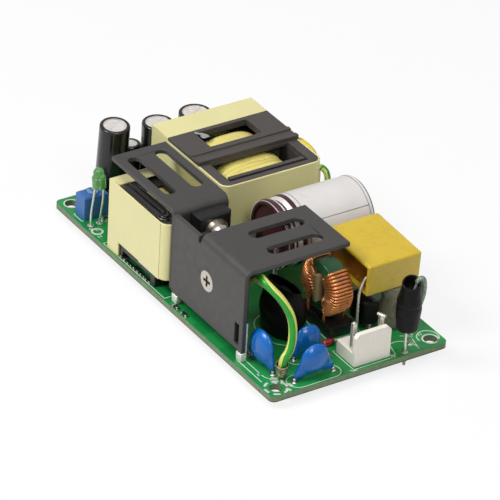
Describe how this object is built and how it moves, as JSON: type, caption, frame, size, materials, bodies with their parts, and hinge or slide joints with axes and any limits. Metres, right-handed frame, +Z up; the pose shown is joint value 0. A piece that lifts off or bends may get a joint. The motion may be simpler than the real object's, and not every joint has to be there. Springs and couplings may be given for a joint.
{
  "type": "open frame switching power supply",
  "caption": "Open frame switching power supply on a green rectangular circuit board, with folded dark heatsinks, a taped transformer, chokes, capacitors and pin headers.",
  "frame": {"origin": "middle of the four mounting holes, on the underside of the board", "axes": "+X along the board towards the mains input end, +Y across the board away from the side heatsink, +Z up out of the component side"},
  "size_m": [0.1033, 0.0511, 0.0286],
  "materials": {
    "board_green": "semi gloss solder mask",
    "dark_sheet": "matt dark grey",
    "black_sheet": "matt",
    "steel": "plated",
    "black_epoxy": "moulded epoxy",
    "black_plastic": "semi gloss",
    "ferrite": "matt ferrite",
    "yellow_tape": "smooth tape",
    "tinned": "tinned",
    "yellow_wire": "smooth insulation",
    "green_yellow_wire": "green with a yellow stripe",
    "can_metal": "satin",
    "rubber_seal": "matt",
    "maroon_sleeve": "shrunk film",
    "white_label": "plain label",
    "yellow_case": "semi gloss",
    "amber_resin": "cast resin",
    "silicone": "translucent",
    "green_core": "epoxy coated",
    "copper": "enamelled wire",
    "divider_cream": "fibre",
    "blue_dip": "glossy epoxy dip",
    "white_nylon": "nylon",
    "black_sleeve": "heat shrink",
    "glass_body": "clear",
    "green_lens": "diffused lens",
    "blue_body": "moulded",
    "white_rotor": "moulded",
    "red_glass": "glossy"
  },
  "bodies": {
    "supply": {"circuit_board": "board_green", "side_heatsink": "dark_sheet", "top_heatsink": "dark_sheet", "insulating_sheet": "black_sheet", "countersunk_screw": "steel", "hex_nut": "steel", "bridge_rectifier": "black_epoxy", "power_transistor": "black_epoxy", "clamp_screw": "steel", "spring_washer": "steel", "flat_washer": "steel", "choke_bobbin": "black_plastic", "choke_core": "ferrite", "choke_winding": "yellow_tape", "choke_tape": "yellow_tape", "transformer_bobbin": "black_plastic", "transformer_core": "ferrite", "primary_winding": "yellow_tape", "secondary_winding": "yellow_tape", "transformer_tape": "yellow_tape", "secondary_leads": "yellow_wire", "shield_lead": "green_yellow_wire", "bobbin_pins": "tinned", "bulk_capacitor_can": "can_metal", "bulk_capacitor_seal": "rubber_seal", "bulk_capacitor_sleeve": "maroon_sleeve", "bulk_capacitor_label": "white_label", "bulk_capacitor_leads": "tinned", "x_capacitor_case": "yellow_case", "x_capacitor_resin": "amber_resin", "x_capacitor_leads": "tinned", "silicone_bead": "silicone", "line_choke_core": "green_core", "line_choke_winding_left": "copper", "line_choke_winding_right": "copper", "line_choke_divider": "divider_cream", "line_choke_base": "black_plastic", "varistor_sleeve": "black_sleeve", "varistor": "blue_dip", "thermistor": "black_plastic", "y_capacitor_front": "blue_dip", "y_capacitor_rear": "blue_dip", "y_capacitor_right": "blue_dip", "input_housing": "white_nylon", "input_pins": "tinned", "output_housing": "white_nylon", "output_pins": "tinned", "fuse_sleeve": "black_sleeve", "fuse": "glass_body", "led_lens": "green_lens", "led_leads": "tinned", "trimmer_body": "blue_body", "output_capacitor_1": "black_plastic", "output_capacitor_2": "black_plastic", "output_capacitor_3": "black_plastic", "small_capacitor": "black_plastic", "earth_wire": "green_yellow_wire", "earth_terminal": "tinned", "signal_diode": "red_glass"},
    "rotor": {"trimmer_rotor": "white_rotor"}
  },
  "joints": [
    {"name": "trimmer_turn", "type": "hinge", "parent": "supply", "child": "rotor", "pos_m": [-0.0409, -0.0203, 0.0076], "axis": [0, 0, 1], "range_deg": [-130, 130]}
  ]
}
